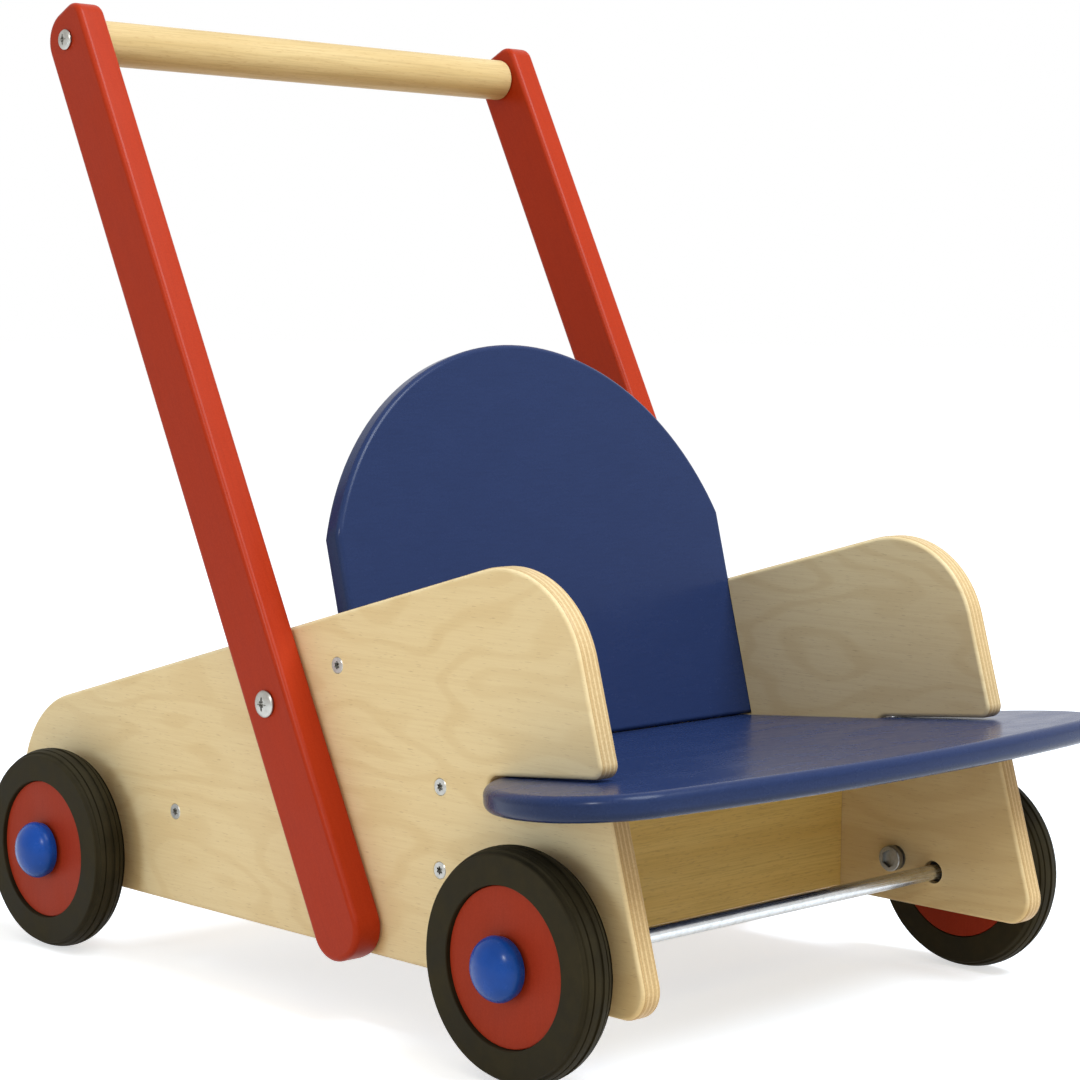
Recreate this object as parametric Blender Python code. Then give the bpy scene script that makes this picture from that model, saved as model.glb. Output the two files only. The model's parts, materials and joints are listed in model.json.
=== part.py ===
"""A baby push walker in wood: two plywood side panels joined by a seat, a backrest and two cross boards,
a push handle on two arms, and four rubber-tyred wheels with an adjustable brake on each front wheel.

Metres, +Z up. The walker faces -Y and its right side is at -X. It stands on z = 0 with the origin below
the middle of its box. Heights of the body are given from the axle line, so it rises with the wheels.
"""

import math

import bmesh
import bpy
from mathutils import Matrix, Vector

# Fits
FIT_GAP = 0.0003  # between pieces that touch
RUN_GAP = 0.0001  # between an axle or a thread and what turns on it

# Wheels and axles
TYRE_R = 0.0545
TYRE_CROWN = 0.0035  # middle of the tread above its edges
TYRE_WIDTH = 0.0195
RIM_R = 0.0372
RIM_RIB_HEIGHT = 0.0020  # rib round the hub that keys the tyre
RIM_RIB_WIDTH = 0.0060
RIM_CHAMFER = 0.0004
HUB_RECESS = 0.0022  # hub's outer face inside the tyre's
WHEEL_STANDOFF = 0.0083  # panel's outer face to the tyre's inner face
HUB_BOSS_R = 0.0105  # under the cap
HUB_BOSS = 0.0014
AXLE_R = 0.0040
FRONT_AXLE_Y = -0.1635
REAR_AXLE_Y = 0.2031
AXLE_BUSH_WALL = 0.0015
AXLE_BUSH_SHORT = 0.0040  # bush end short of the panel's inner face
AXLE_BUSH_FLANGE_R = 0.0085
AXLE_BUSH_FLANGE = 0.0015
SPACER_R = 0.0080
CAP_R = 0.0153
CAP_HEIGHT = 0.0130
CAP_RIM = 0.0032
CAP_GRIP = 0.0050  # axle length inside the cap

# Side panels: heights from the axle line, outline seen from the side
BODY_WIDTH = 0.3000  # over the panels' outer faces
PANEL_THICK = 0.0120
PANEL_EDGE_R = 0.0025
PANEL_BOTTOM = -0.0198
PANEL_TOP = 0.1422  # top edge at y = 0
PANEL_TOP_SLOPE = math.radians(15.57)
PANEL_FRONT_Y = -0.2242  # front edge at axle height
PANEL_FRONT_LEAN = math.radians(15.96)
PANEL_REAR_Y = 0.2630
FRONT_TOP_R = 0.0600
REAR_TOP_R = 0.0600
FRONT_BOTTOM_R = 0.0135
REAR_BOTTOM_R = 0.0300
NOTCH_MOUTH_R = 0.0060
NOTCH_END_R = 0.0060
NOTCH_FLARE = math.radians(0.6)  # its upper side opens forward
NOTCH_END_ROOM = 0.0015  # behind the seat's ear

# Seat board: tilted back, with an ear through each side panel's notch
SEAT_HEIGHT = 0.0676  # top face above the axle line at y = 0
SEAT_TILT = math.radians(5.12)
SEAT_THICK = 0.0120
SEAT_EDGE_R = 0.0045
SEAT_WIDTH = 0.3940
SEAT_FRONT = -0.2630  # front edge, measured along the seat
SEAT_FRONT_ARC_R = 0.8400
EAR_FRONT_R = 0.0454
EAR_SIDE = 0.0004
EAR_REAR_R = 0.0800
SEAT_DEPTH = 0.2288  # front edge to the backrest
SEAT_TAIL = 0.0040  # behind the backrest

# Backrest board, standing on the seat and let into the panels
BACK_LEAN = math.radians(14.71)
BACK_THICK = 0.0120
BACK_EDGE_R = 0.0030
BACK_HEIGHT = 0.2145
BACK_ARC_RISE = 0.0982
BACK_HOUSING = 0.0030  # each end in a groove of its panel
BACK_SCREW_UP = 0.0530

# Cross boards between the panels
APRON_SETBACK = 0.0230  # from the end of the notch
APRON_THICK = 0.0200
APRON_BOTTOM = -0.0170
APRON_SCREW_HEIGHT = 0.0296
REAR_BOARD_Y = 0.1184
REAR_BOARD_THICK = 0.0200
REAR_BOARD_HEIGHT = 0.0750
REAR_BOARD_MIDDLE = 0.0291
BOARD_EDGE_R = 0.0015

# Push handle
ARM_WIDTH = 0.0345
ARM_THICK = 0.0170
ARM_EDGE_R = 0.0030
ARM_LEAN = math.radians(26.70)
ARM_BOLT_ROOM = 0.0337  # behind the backrest, at the bolt's height
ARM_BOLT_HEIGHT = 0.0991
ARM_FOOT = 0.1335  # bolt to the lower end
ARM_FOOT_SCREW = 0.0920  # bolt to the hidden screw
GRIP_REACH = 0.3790  # bolt to the grip bar
ARM_TOP = 0.0165  # grip bar to the upper end
ARM_TOP_REAR_R = 0.0160
ARM_TOP_FRONT_R = 0.0090
ARM_FOOT_R = 0.0160
GRIP_R = 0.0120

# Fasteners
WOOD_SCREW_R = 0.0020
WOOD_SCREW_HEAD_R = 0.0042
WOOD_SCREW_HEAD = 0.0024
WOOD_SCREW_LENGTH = 0.0350
FOOT_SCREW_HEAD = 0.0020
FOOT_SCREW_BITE = 0.0100  # in the arm
SEAT_SCREW_X = 0.0700
SEAT_SCREW_BITE = 0.0200  # in the backrest
GRIP_SCREW_R = 0.0025
GRIP_SCREW_HEAD_R = 0.0055
GRIP_SCREW_HEAD = 0.0024
GRIP_SCREW_BITE = 0.0300  # in the grip bar
ARM_BOLT_R = 0.0030
ARM_BOLT_HEAD_R = 0.0069
ARM_BOLT_HEAD = 0.0028
NUT_BARREL_R = 0.0045
NUT_END_ROOM = 0.0010  # nut barrel short of the panel's outer face
NUT_FLANGE_R = 0.0085
NUT_FLANGE = 0.0015

# Brake screw of each front wheel
BRAKE_REACH = 0.0252  # from the axle
BRAKE_ANGLE = math.radians(10.0)  # behind the axle, above level
BRAKE_SCREW_R = 0.0040
BRAKE_HEAD_R = 0.0069
BRAKE_HEAD = 0.0033
BRAKE_SOCKET_R = 0.0049  # to the corners of its six sides
BRAKE_SOCKET_DEPTH = 0.0022
BRAKE_TIP = 0.0030  # screw length inside the pad
BRAKE_PAD_R = 0.0060
BRAKE_PAD = 0.0060
INSERT_WALL = 0.0018
INSERT_FLANGE_R = 0.0067
INSERT_FLANGE = 0.0006

# Fineness of the meshes
ARC_SAG = 0.00015  # farthest that an arc's chords lie from it
EASE_STEPS = 2
WHEEL_STEPS = 32
CAP_STEPS = 24
ROUND_STEPS = 16
SCREW_STEPS = 12
SHARP = math.radians(35.0)
WELD = 1e-6
CUT_PAST = 0.0010  # how far a cutter runs past the face that it opens

# What follows from the sizes above
HALF = BODY_WIDTH / 2
INSIDE = HALF - PANEL_THICK - FIT_GAP  # half length of what stands between the panels
AXLE_Z = TYRE_R
WHEEL_MIDDLE = HALF + WHEEL_STANDOFF + TYRE_WIDTH / 2
HUB_WIDTH = TYRE_WIDTH - HUB_RECESS
BRAKE_TRAVEL = WHEEL_STANDOFF - BRAKE_PAD - 2 * FIT_GAP
SIDES = (("right", -1), ("left", 1))

# Local X and Y of a side view become world Y and Z
SIDE_VIEW = Matrix(((0, 0, 1, 0), (1, 0, 0, 0), (0, 1, 0, 0), (0, 0, 0, 1)))
SEAT_FRAME = Matrix.Translation((0, 0, AXLE_Z + SEAT_HEIGHT)) @ Matrix.Rotation(-SEAT_TILT, 4, "X")

holes = {}


def finish(name, colour, roughness, metallic=0.0):
    """A plain surface finish."""
    material = bpy.data.materials.new(name)
    material.use_nodes = True
    shader = material.node_tree.nodes["Principled BSDF"]
    shader.inputs["Base Color"].default_value = (*colour, 1.0)
    shader.inputs["Roughness"].default_value = roughness
    shader.inputs["Metallic"].default_value = metallic
    return material


def out_of(side):
    """A frame whose local Z points away from the walker's middle on that side."""
    return Matrix.Rotation(side * math.pi / 2, 4, "Y")


def at(x, y, z):
    return Matrix.Translation((x, y, z))


def axis(name, frame):
    """An empty on the axis that a moving piece turns or slides on."""
    empty = bpy.data.objects.new(name, None)
    bpy.context.scene.collection.objects.link(empty)
    empty.matrix_basis = frame
    return empty


def piece(name, shape, material, frame=None, parent=None):
    """One named part from a finished shape, placed by its frame in its parent's."""
    mesh = bpy.data.meshes.new(name)
    shape.to_mesh(mesh)
    shape.free()
    mesh.shade_smooth()
    mesh.set_sharp_from_angle(angle=SHARP)
    mesh.materials.append(material)
    made = bpy.data.objects.new(name, mesh)
    bpy.context.scene.collection.objects.link(made)
    made.parent = parent
    made.matrix_basis = frame or Matrix()
    return made


def arc(centre, radius, start, end):
    """Points of an arc between two angles, both ends included."""
    widest = 2 * math.acos(max(0.0, 1 - ARC_SAG / radius))
    steps = max(1, math.ceil(abs(end - start) / widest))
    angles = [start + (end - start) * i / steps for i in range(steps + 1)]
    return [(centre[0] + radius * math.cos(a), centre[1] + radius * math.sin(a)) for a in angles]


def rounded(corners):
    """A closed outline from (point, radius) corners. A radius is limited by the edges beside it."""
    points = []
    count = len(corners)
    for i, (corner, radius) in enumerate(corners):
        corner = Vector(corner)
        back = Vector(corners[i - 1][0]) - corner
        ahead = Vector(corners[(i + 1) % count][0]) - corner
        half = back.angle(ahead) / 2
        reach = min(radius / math.tan(half), 0.49 * back.length, 0.49 * ahead.length)
        radius = reach * math.tan(half)
        inward = (back.normalized() + ahead.normalized()).normalized()
        centre = corner + inward * (radius / math.sin(half))
        first = corner + back.normalized() * reach - centre
        last = corner + ahead.normalized() * reach - centre
        start = math.atan2(first.y, first.x)
        turn = (math.atan2(last.y, last.x) - start + math.pi) % (2 * math.pi) - math.pi
        points += arc(centre, radius, start, start + turn)
    return points


def crossing(point, direction, other, other_direction):
    """Where two lines of a side view meet."""
    point, direction, other = Vector(point), Vector(direction), Vector(other)
    across = Vector((-other_direction[1], other_direction[0]))
    return point + direction * ((other - point).dot(across) / direction.dot(across))


def slab(outline, low, high, edge_r=0.0, low_outline=None):
    """A board with an outline in local X and Y, from low to high in local Z, its rims eased to edge_r."""
    shape = bmesh.new()
    bottom = [shape.verts.new((x, y, low)) for x, y in low_outline or outline]
    top = [shape.verts.new((x, y, high)) for x, y in outline]
    caps = [shape.faces.new(bottom), shape.faces.new(top)]
    rims = [edge for cap in caps for edge in cap.edges]
    count = len(outline)
    for i in range(count):
        j = (i + 1) % count
        shape.faces.new((bottom[i], bottom[j], top[j], top[i]))
    bmesh.ops.recalc_face_normals(shape, faces=shape.faces)
    if edge_r:
        bmesh.ops.bevel(shape, geom=rims, offset=edge_r, segments=EASE_STEPS, profile=0.5, affect="EDGES")
    return shape


def turned(profile, steps=ROUND_STEPS, ring=False):
    """A solid of revolution about local Z from (radius, z) points. A ring's profile closes on itself."""
    shape = bmesh.new()
    points = [shape.verts.new((r, 0, z)) for r, z in profile]
    pairs = list(zip(points, points[1:]))
    if ring:
        pairs.append((points[-1], points[0]))
    edges = [shape.edges.new(pair) for pair in pairs]
    sweep = {"cent": (0, 0, 0), "axis": (0, 0, 1), "angle": 2 * math.pi}
    bmesh.ops.spin(shape, geom=points + edges, steps=steps, use_merge=True, **sweep)
    bmesh.ops.remove_doubles(shape, verts=shape.verts, dist=WELD)
    bmesh.ops.recalc_face_normals(shape, faces=shape.faces)
    return shape


def tube(inner, outer, low, high, steps=ROUND_STEPS):
    return turned([(inner, low), (outer, low), (outer, high), (inner, high)], steps, ring=True)


def rod(radius, low, high, steps=ROUND_STEPS):
    return turned([(0, high), (radius, high), (radius, low), (0, low)], steps)


def hole(pieces, shape, frame):
    """Notes a cut in each of the pieces. Its shape is a function, called once for each cut."""
    for cut_piece in pieces:
        holes.setdefault(cut_piece.name, []).append((shape, frame))


def cut_holes():
    """Cuts each piece's noted holes with one hidden cutter, whose bodies may cross each other."""
    for name, cuts in holes.items():
        merged = bmesh.new()
        for shape, frame in cuts:
            body = shape()
            body.transform(frame)
            loose = bpy.data.meshes.new("cut")
            body.to_mesh(loose)
            body.free()
            merged.from_mesh(loose)
            bpy.data.meshes.remove(loose)
        mesh = bpy.data.meshes.new(name + "_cutter")
        merged.to_mesh(mesh)
        merged.free()
        cutter = bpy.data.objects.new(name + "_cutter", mesh)
        bpy.context.scene.collection.objects.link(cutter)
        cutter.hide_render = True
        cutter.display_type = "WIRE"
        modifier = bpy.data.objects[name].modifiers.new("holes", "BOOLEAN")
        modifier.operation = "DIFFERENCE"
        modifier.object = cutter
        modifier.use_self = True


def countersunk_screw(length):
    """z = 0 is the flat of the head, and the screw points down."""
    radius = WOOD_SCREW_R
    return turned(
        [(0, 0), (WOOD_SCREW_HEAD_R, 0), (radius, -WOOD_SCREW_HEAD), (radius, radius - length), (0, -length)],
        SCREW_STEPS,
    )


def countersunk_hole(length):
    """The cut that a countersunk screw sits in."""
    wide, narrow, deep = WOOD_SCREW_HEAD_R + FIT_GAP, WOOD_SCREW_R + FIT_GAP, -length - FIT_GAP
    return turned(
        [(0, CUT_PAST), (wide, CUT_PAST), (wide, 0), (narrow, -WOOD_SCREW_HEAD), (narrow, deep), (0, deep)],
        SCREW_STEPS,
    )


def pan_screw(radius, head_r, head, length):
    """z = 0 is the underside of a domed head, and the screw points down."""
    dome = [(0, head), (0.55 * head_r, 0.92 * head), (0.9 * head_r, 0.55 * head), (head_r, 0)]
    return turned(dome + [(radius, 0), (radius, radius - length), (0, -length)], SCREW_STEPS)


def straight_hole(radius, length):
    return rod(radius + FIT_GAP, -length - FIT_GAP, CUT_PAST, SCREW_STEPS)


def seat_point(along, above):
    """World y and z of a point along the seat and above its top face."""
    place = SEAT_FRAME @ Vector((0, along, above))
    return place.y, place.z


def ear_places():
    """Along the seat: centres of an ear's front and rear arcs, and where it meets the panel's inner face."""
    out = SEAT_WIDTH / 2 - EAR_FRONT_R
    arc_middle = SEAT_FRONT + SEAT_FRONT_ARC_R
    front = arc_middle - math.sqrt((SEAT_FRONT_ARC_R - EAR_FRONT_R) ** 2 - out**2)
    rear = front + EAR_SIDE
    inward = max(0.0, INSIDE - (SEAT_WIDTH / 2 - EAR_REAR_R))
    root = rear + math.sqrt(EAR_REAR_R**2 - inward**2)
    return front, rear, root


def notch_end():
    """Where the panel's notch ends, along the seat."""
    return ear_places()[2] + NOTCH_END_ROOM


def apron_front():
    return seat_point(notch_end(), -SEAT_THICK / 2)[0] + APRON_SETBACK


def seat_underside(y):
    return AXLE_Z + SEAT_HEIGHT - y * math.tan(SEAT_TILT) - SEAT_THICK / math.cos(SEAT_TILT)


def panel_outline():
    """The side panel seen from the side, in world y and z."""
    rise = Vector((-math.cos(PANEL_TOP_SLOPE), math.sin(PANEL_TOP_SLOPE)))
    lean = Vector((math.sin(PANEL_FRONT_LEAN), math.cos(PANEL_FRONT_LEAN)))
    along_seat = (math.cos(SEAT_TILT), -math.sin(SEAT_TILT))
    top, front = (0, AXLE_Z + PANEL_TOP), (PANEL_FRONT_Y, AXLE_Z)
    bottom = AXLE_Z + PANEL_BOTTOM
    flared = (math.cos(SEAT_TILT + NOTCH_FLARE), -math.sin(SEAT_TILT + NOTCH_FLARE))
    over = seat_point(notch_end(), FIT_GAP)
    under = seat_point(notch_end(), -SEAT_THICK - FIT_GAP)
    return rounded(
        [
            (crossing(front, lean, (0, bottom), (1, 0)), FRONT_BOTTOM_R),
            ((PANEL_REAR_Y, bottom), REAR_BOTTOM_R),
            (crossing((PANEL_REAR_Y, 0), (0, 1), top, rise), REAR_TOP_R),
            (crossing(front, lean, top, rise), FRONT_TOP_R),
            (crossing(front, lean, over, flared), NOTCH_MOUTH_R),
            (over, NOTCH_END_R),
            (under, NOTCH_END_R),
            (crossing(front, lean, under, along_seat), NOTCH_MOUTH_R),
        ]
    )


def make_panels(birch):
    shape_at = PANEL_THICK / 2
    return {
        name: piece(
            "side_panel_" + name,
            slab(panel_outline(), -shape_at, shape_at, PANEL_EDGE_R),
            birch,
            at(side * (HALF - shape_at), 0, 0) @ SIDE_VIEW,
        )
        for name, side in SIDES
    }


def seat_outline():
    """The seat from above, its rear end between the panels and an ear out through each notch."""
    front, rear, root = ear_places()
    end = SEAT_FRONT + SEAT_DEPTH + BACK_THICK / math.cos(BACK_LEAN - SEAT_TILT) + SEAT_TAIL
    out_front = SEAT_WIDTH / 2 - EAR_FRONT_R
    out_rear = SEAT_WIDTH / 2 - EAR_REAR_R
    start = math.asin((root - rear) / EAR_REAR_R)
    middle = SEAT_FRONT + SEAT_FRONT_ARC_R
    meet = math.atan2(front - middle, out_front)
    half = [(INSIDE, end), (INSIDE, root)]
    half += arc((out_rear, rear), EAR_REAR_R, start, 0)[0 if out_rear > INSIDE else 1 :]
    half += arc((out_front, front), EAR_FRONT_R, 0, meet)
    half += arc((0, middle), SEAT_FRONT_ARC_R, meet, -math.pi / 2)[1:]
    return half + [(-x, y) for x, y in reversed(half[:-1])]


def make_seat(blue):
    return piece("seat_board", slab(seat_outline(), -SEAT_THICK, 0, SEAT_EDGE_R), blue, SEAT_FRAME)


def back_frame():
    """At the foot of the backrest's front face: local Y runs up the board, and local Z out of its front."""
    return at(0, *seat_point(SEAT_FRONT + SEAT_DEPTH, 0)) @ Matrix.Rotation(math.pi / 2 - BACK_LEAN, 4, "X")


def back_foot(depth):
    """Height of the backrest's foot, which is sawn parallel to the seat, at a depth in the board."""
    tilt = BACK_LEAN - SEAT_TILT
    return (FIT_GAP + depth * math.sin(tilt)) / math.cos(tilt)


def back_outline(depth):
    """Straight sides under one arc."""
    half, foot = INSIDE + BACK_HOUSING, back_foot(depth)
    radius = (half**2 + BACK_ARC_RISE**2) / (2 * BACK_ARC_RISE)
    middle = BACK_HEIGHT - radius
    start = math.atan2(BACK_HEIGHT - BACK_ARC_RISE - middle, half)
    return [(-half, foot), (half, foot)] + arc((0, middle), radius, start, math.pi - start)


def housing(side):
    """The cut in a panel's inner face that takes an end of the backrest, open at the panel's top edge."""
    near, far = side * (INSIDE - CUT_PAST), side * (INSIDE + BACK_HOUSING + FIT_GAP)
    front, rear = [
        [(near, foot), (far, foot), (far, BACK_HEIGHT), (near, BACK_HEIGHT)]
        for foot in (back_foot(-FIT_GAP) - FIT_GAP, back_foot(BACK_THICK + FIT_GAP) - FIT_GAP)
    ]
    return slab(front, -BACK_THICK - FIT_GAP, FIT_GAP, low_outline=rear)


def make_backrest(panels, blue):
    shape = slab(back_outline(0), -BACK_THICK, 0, BACK_EDGE_R, low_outline=back_outline(BACK_THICK))
    hole([panels["right"]], lambda: housing(-1), back_frame())
    hole([panels["left"]], lambda: housing(1), back_frame())
    return piece("backrest", shape, blue, back_frame())


def make_cross_boards(beech):
    """The apron under the seat and the board between the panels' rear ends, cut square in side view."""
    front = apron_front()
    back = front + APRON_THICK
    low = AXLE_Z + APRON_BOTTOM
    apron = [(front, low), (back, low)]
    apron += [(y, seat_underside(y) - FIT_GAP) for y in (back, front)]
    rear = [
        (REAR_BOARD_Y + y * REAR_BOARD_THICK / 2, AXLE_Z + REAR_BOARD_MIDDLE + z * REAR_BOARD_HEIGHT / 2)
        for y, z in ((-1, -1), (1, -1), (1, 1), (-1, 1))
    ]
    sections = {"front_cross_board": apron, "rear_cross_board": rear}
    return {
        name: piece(
            name,
            slab(rounded([(corner, BOARD_EDGE_R) for corner in section]), -INSIDE, INSIDE),
            beech,
            SIDE_VIEW,
        )
        for name, section in sections.items()
    }


def arm_frame(x):
    """At the arm's bolt, behind the backrest: local Y runs up the arm, and local Z along world X."""
    height = AXLE_Z + ARM_BOLT_HEIGHT
    rear_face = back_frame() @ Vector((0, 0, -BACK_THICK))
    y = rear_face.y + (height - rear_face.z) * math.tan(BACK_LEAN) + ARM_BOLT_ROOM
    return at(x, y, height) @ SIDE_VIEW @ Matrix.Rotation(-ARM_LEAN, 4, "Z")


def arm_point(up):
    """World y and z of a point on the arm's middle line."""
    place = arm_frame(0) @ Vector((0, up, 0))
    return place.y, place.z


def make_handle(red, beech):
    half, top = ARM_WIDTH / 2, GRIP_REACH + ARM_TOP
    outline = rounded(
        [
            ((-half, -ARM_FOOT), ARM_FOOT_R),
            ((half, -ARM_FOOT), ARM_FOOT_R),
            ((half, top), ARM_TOP_REAR_R),
            ((-half, top), ARM_TOP_FRONT_R),
        ]
    )
    middle = HALF + FIT_GAP + ARM_THICK / 2
    made = {
        name: piece(
            "handle_arm_" + name,
            slab(outline, -ARM_THICK / 2, ARM_THICK / 2, ARM_EDGE_R),
            red,
            arm_frame(side * middle),
        )
        for name, side in SIDES
    }
    grip = rod(GRIP_R, -HALF, HALF, CAP_STEPS)
    made["grip"] = piece("handle_bar", grip, beech, at(0, *arm_point(GRIP_REACH)) @ out_of(1))
    return made


def make_handle_fasteners(handle, panels, steel):
    """Per side: a pan screw into the grip bar, a bolt and nut through the panel, and a screw at the foot."""
    outer_face = HALF + FIT_GAP + ARM_THICK
    inner_face = HALF - PANEL_THICK
    grip_screw = ARM_THICK + FIT_GAP + GRIP_SCREW_BITE
    bolt = ARM_THICK + FIT_GAP + PANEL_THICK + FIT_GAP + NUT_FLANGE
    foot_screw = PANEL_THICK + FIT_GAP + FOOT_SCREW_BITE
    barrel = PANEL_THICK - NUT_END_ROOM
    for name, side in SIDES:
        arm, panel = handle[name], panels[name]
        frame = at(side * (outer_face + FIT_GAP), *arm_point(GRIP_REACH)) @ out_of(side)
        shape = pan_screw(GRIP_SCREW_R, GRIP_SCREW_HEAD_R, GRIP_SCREW_HEAD, grip_screw)
        piece("handle_bar_screw_" + name, shape, steel, frame)
        hole([arm, handle["grip"]], lambda: straight_hole(GRIP_SCREW_R, grip_screw), frame)

        frame = at(side * (outer_face + FIT_GAP), *arm_point(0)) @ out_of(side)
        piece("arm_bolt_" + name, pan_screw(ARM_BOLT_R, ARM_BOLT_HEAD_R, ARM_BOLT_HEAD, bolt), steel, frame)
        hole([arm], lambda: straight_hole(ARM_BOLT_R, bolt), frame)

        frame = at(side * (inner_face - FIT_GAP), *arm_point(0)) @ out_of(-side)
        bore = ARM_BOLT_R + FIT_GAP
        nut = [(bore, NUT_FLANGE), (bore, -barrel), (NUT_BARREL_R, -barrel), (NUT_BARREL_R, 0)]
        nut += [(NUT_FLANGE_R, 0), (NUT_FLANGE_R, NUT_FLANGE)]
        piece("arm_nut_" + name, turned(nut, ring=True), steel, frame)
        hole([panel], lambda: straight_hole(NUT_BARREL_R, PANEL_THICK + CUT_PAST), frame)

        frame = at(side * (inner_face - FIT_GAP), *arm_point(-ARM_FOOT_SCREW)) @ out_of(-side)
        shape = pan_screw(WOOD_SCREW_R, WOOD_SCREW_HEAD_R, FOOT_SCREW_HEAD, foot_screw)
        piece("arm_foot_screw_" + name, shape, steel, frame)
        hole([arm, panel], lambda: straight_hole(WOOD_SCREW_R, foot_screw), frame)


def make_body_screws(panels, boards, seat, backrest, steel):
    """Countersunk screws through each panel into what it carries, and through the seat into the backrest."""
    apron_middle = apron_front() + APRON_THICK / 2
    seat_along = (apron_middle + SEAT_THICK / 2 * math.sin(SEAT_TILT)) / math.cos(SEAT_TILT)
    into_back = back_frame() @ Vector((0, BACK_SCREW_UP, -BACK_THICK / 2))
    places = (
        ("backrest_screw_", backrest, (into_back.y, into_back.z)),
        ("seat_screw_", seat, seat_point(seat_along, -SEAT_THICK / 2)),
        ("front_board_screw_", boards["front_cross_board"], (apron_middle, AXLE_Z + APRON_SCREW_HEIGHT)),
        ("rear_board_screw_", boards["rear_cross_board"], (REAR_BOARD_Y, AXLE_Z + REAR_BOARD_MIDDLE)),
    )
    tilt = BACK_LEAN - SEAT_TILT
    length = SEAT_THICK + FIT_GAP + SEAT_SCREW_BITE
    middle = BACK_THICK / 2 / math.cos(tilt) + SEAT_SCREW_BITE / 2 * math.tan(tilt)
    along = SEAT_FRONT + SEAT_DEPTH + middle
    turn_over = Matrix.Rotation(math.pi, 4, "X")
    for name, side in SIDES:
        for label, carried, place in places:
            frame = at(side * HALF, *place) @ out_of(side)
            piece(label + name, countersunk_screw(WOOD_SCREW_LENGTH), steel, frame)
            hole([panels[name], carried], lambda: countersunk_hole(WOOD_SCREW_LENGTH), frame)
        frame = SEAT_FRAME @ at(side * SEAT_SCREW_X, along, -SEAT_THICK) @ turn_over
        piece("seat_back_screw_" + name, countersunk_screw(length), steel, frame)
        hole([seat, backrest], lambda: countersunk_hole(length), frame)


def tyre_shape():
    """Local Z runs outward from the wheel's middle. A groove inside takes the hub's rib."""
    half, rib = TYRE_WIDTH / 2, RIM_RIB_WIDTH / 2 + FIT_GAP
    inner = RIM_R + FIT_GAP
    groove = inner + RIM_RIB_HEIGHT
    crown_r = (half**2 + TYRE_CROWN**2) / (2 * TYRE_CROWN)
    turn = math.asin(half / crown_r)
    outside = arc((TYRE_R - crown_r, 0), crown_r, turn, 0)
    tread = outside + [(r, -z) for r, z in reversed(outside[:-1])]
    bore = [(inner, -half), (inner, -rib), (groove, -rib), (groove, rib), (inner, rib), (inner, half)]
    return turned(bore + tread, WHEEL_STEPS, ring=True)


def hub_shape():
    """In the tyre's frame: flush with it at the inner end."""
    rib, bore, ridge = RIM_RIB_WIDTH / 2, AXLE_R + RUN_GAP, RIM_R + RIM_RIB_HEIGHT
    low = -TYRE_WIDTH / 2
    high = low + HUB_WIDTH
    profile = [(bore, low), (RIM_R - RIM_CHAMFER, low), (RIM_R, low + RIM_CHAMFER)]
    profile += [(RIM_R, -rib), (ridge, -rib)]
    profile += [(ridge, rib), (RIM_R, rib), (RIM_R, high - RIM_CHAMFER), (RIM_R - RIM_CHAMFER, high)]
    profile += [(HUB_BOSS_R, high), (HUB_BOSS_R, high + HUB_BOSS), (bore, high + HUB_BOSS)]
    return turned(profile, WHEEL_STEPS, ring=True)


def cap_shape():
    """A domed cap over the axle's end: z = 0 is its seat on the hub side."""
    socket = AXLE_R + FIT_GAP
    top = CAP_HEIGHT - CAP_RIM
    dome = [(CAP_R * math.cos(a), CAP_RIM + top * math.sin(a)) for a in (0, 0.4, 0.8, 1.2)]
    profile = [(0, CAP_HEIGHT)] + dome[::-1] + [(CAP_R - CAP_RIM / 4, 0), (socket, 0)]
    return turned(profile + [(socket, CAP_GRIP + FIT_GAP), (0, CAP_GRIP + FIT_GAP)], CAP_STEPS)


def make_wheels(panels, red, rubber, nylon, steel, blue):
    """An axle through the panels at each end, and on each of its ends a bush, a spacer, a wheel and a cap."""
    bush_r = AXLE_R + FIT_GAP + AXLE_BUSH_WALL
    bush_bore = AXLE_R + FIT_GAP
    bush_end = AXLE_BUSH_SHORT - PANEL_THICK
    cap_seat = WHEEL_STANDOFF + HUB_WIDTH + HUB_BOSS + FIT_GAP
    axle_end = HALF + cap_seat + CAP_GRIP
    flange_top = AXLE_BUSH_FLANGE + FIT_GAP
    bush = [(bush_bore, flange_top), (bush_bore, bush_end), (bush_r, bush_end), (bush_r, FIT_GAP)]
    bush += [(AXLE_BUSH_FLANGE_R, FIT_GAP), (AXLE_BUSH_FLANGE_R, flange_top)]
    spacer_low = flange_top + FIT_GAP
    for end, y in (("front", FRONT_AXLE_Y), ("rear", REAR_AXLE_Y)):
        piece(end + "_axle", rod(AXLE_R, -axle_end, axle_end), steel, at(0, y, AXLE_Z) @ out_of(1))
        for name, side in SIDES:
            label = end + "_" + name
            face = at(side * HALF, y, AXLE_Z) @ out_of(side)
            piece("axle_bush_" + label, turned(bush, ring=True), nylon, face)
            hole([panels[name]], lambda: straight_hole(bush_r, PANEL_THICK + CUT_PAST), face)
            spacer = tube(bush_bore, SPACER_R, spacer_low, WHEEL_STANDOFF - FIT_GAP)
            piece("wheel_spacer_" + label, spacer, nylon, face)
            spin = axis("wheel_axis_" + label, at(side * WHEEL_MIDDLE, y, AXLE_Z) @ out_of(side))
            piece("wheel_hub_" + label, hub_shape(), red, parent=spin)
            piece("tyre_" + label, tyre_shape(), rubber, parent=spin)
            piece("hub_cap_" + label, cap_shape(), blue, face @ at(0, 0, cap_seat))


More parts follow.
